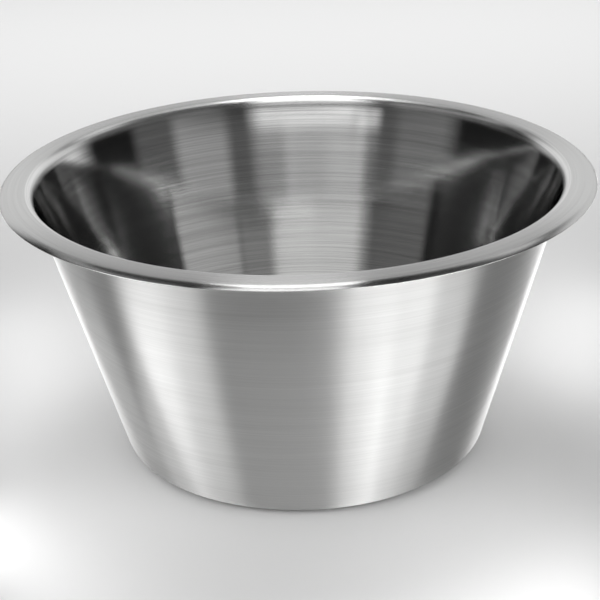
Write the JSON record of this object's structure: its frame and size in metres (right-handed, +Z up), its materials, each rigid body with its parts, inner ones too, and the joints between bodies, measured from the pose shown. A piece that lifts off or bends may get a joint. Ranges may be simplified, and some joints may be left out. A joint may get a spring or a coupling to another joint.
{
  "type": "conical mixing bowl",
  "caption": "Conical stainless mixing bowl with a flat base, a straight tapering wall and a flat rim whose outer edge is rolled down, for mixing and holding food.",
  "frame": {"origin": "on the bowl's axis, on the surface that the base stands on", "axes": "+Z up along the bowl's axis; the bowl is round, so +X and +Y are free, and the picture looks along +Y"},
  "size_m": [0.268, 0.268, 0.13],
  "materials": {
    "brushed_stainless": "satin stainless steel, brushed in fine rings around the bowl's axis"
  },
  "bodies": {
    "root": {"bowl_shell": "brushed_stainless"}
  },
  "joints": []
}
